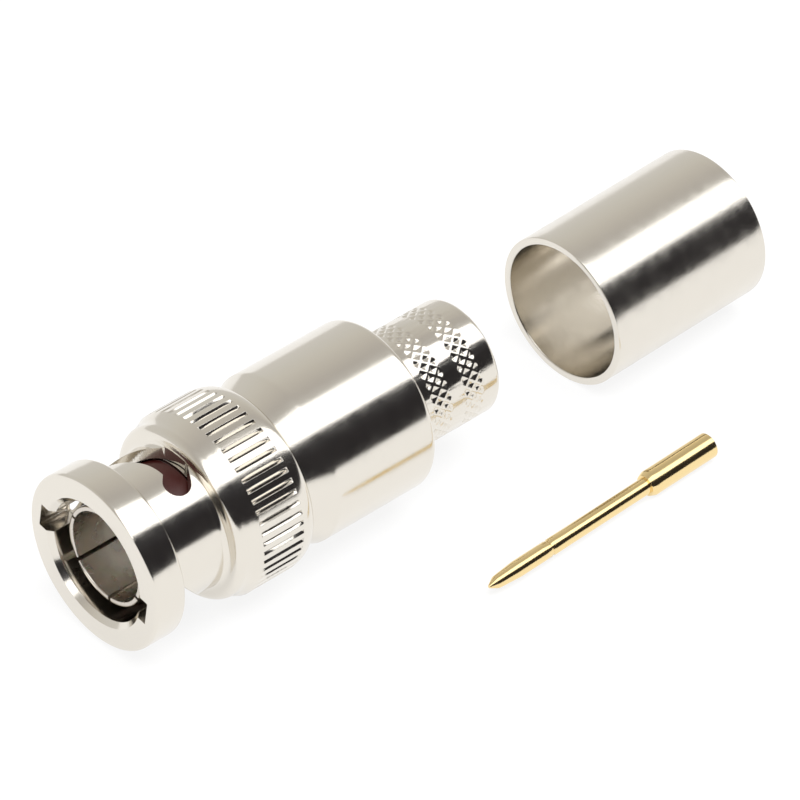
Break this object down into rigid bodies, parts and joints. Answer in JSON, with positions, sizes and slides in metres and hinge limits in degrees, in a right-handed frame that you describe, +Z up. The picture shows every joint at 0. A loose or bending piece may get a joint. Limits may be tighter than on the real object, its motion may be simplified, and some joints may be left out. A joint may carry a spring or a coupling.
{
  "type": "bnc connector",
  "caption": "Coaxial bayonet plug with a knurled turning nut and a knurled crimp stem, laid out with its loose crimp ferrule and gold-plated centre pin.",
  "frame": {"origin": "centre of the plug's mating face, on the plug's axis", "axes": "+X along the plug towards the cable, +Z up from the surface that the kit lies on"},
  "size_m": [0.0621, 0.0237, 0.015],
  "materials": {
    "nut_nickel": "bright nickel plate",
    "body_nickel": "bright nickel plate",
    "ferrule_nickel": "bright nickel plate",
    "contact_nickel": "satin nickel plate",
    "washer_nickel": "turned, nickel plate",
    "spring_steel": "bright spring strip",
    "silicone": "smooth moulded silicone",
    "ptfe": "turned PTFE",
    "gold": "gold plate"
  },
  "bodies": {
    "body": {"rear_body": "body_nickel", "front_body": "washer_nickel", "outer_contact": "contact_nickel", "front_insulator": "ptfe", "rear_insulator": "ptfe", "gasket": "silicone", "wave_washer_front": "spring_steel", "wave_washer_rear": "spring_steel", "crimp_ferrule": "ferrule_nickel", "centre_pin": "gold"},
    "thrust": {"slip_washer": "washer_nickel"},
    "nut": {"coupling_nut": "nut_nickel", "retaining_ring": "spring_steel"}
  },
  "joints": [
    {"name": "nut_pull", "type": "slide", "parent": "body", "child": "thrust", "axis": [-1, 0, 0], "range_m": [0, 0.0008], "stiffness_N_per_m": 2500, "springref_m": -0.0004, "deforming": ["wave_washer_front", "wave_washer_rear"]},
    {"name": "nut_turn", "type": "hinge", "parent": "thrust", "child": "nut", "pos_m": [0.008, 0, 0], "axis": [1, 0, 0], "continuous": true}
  ]
}
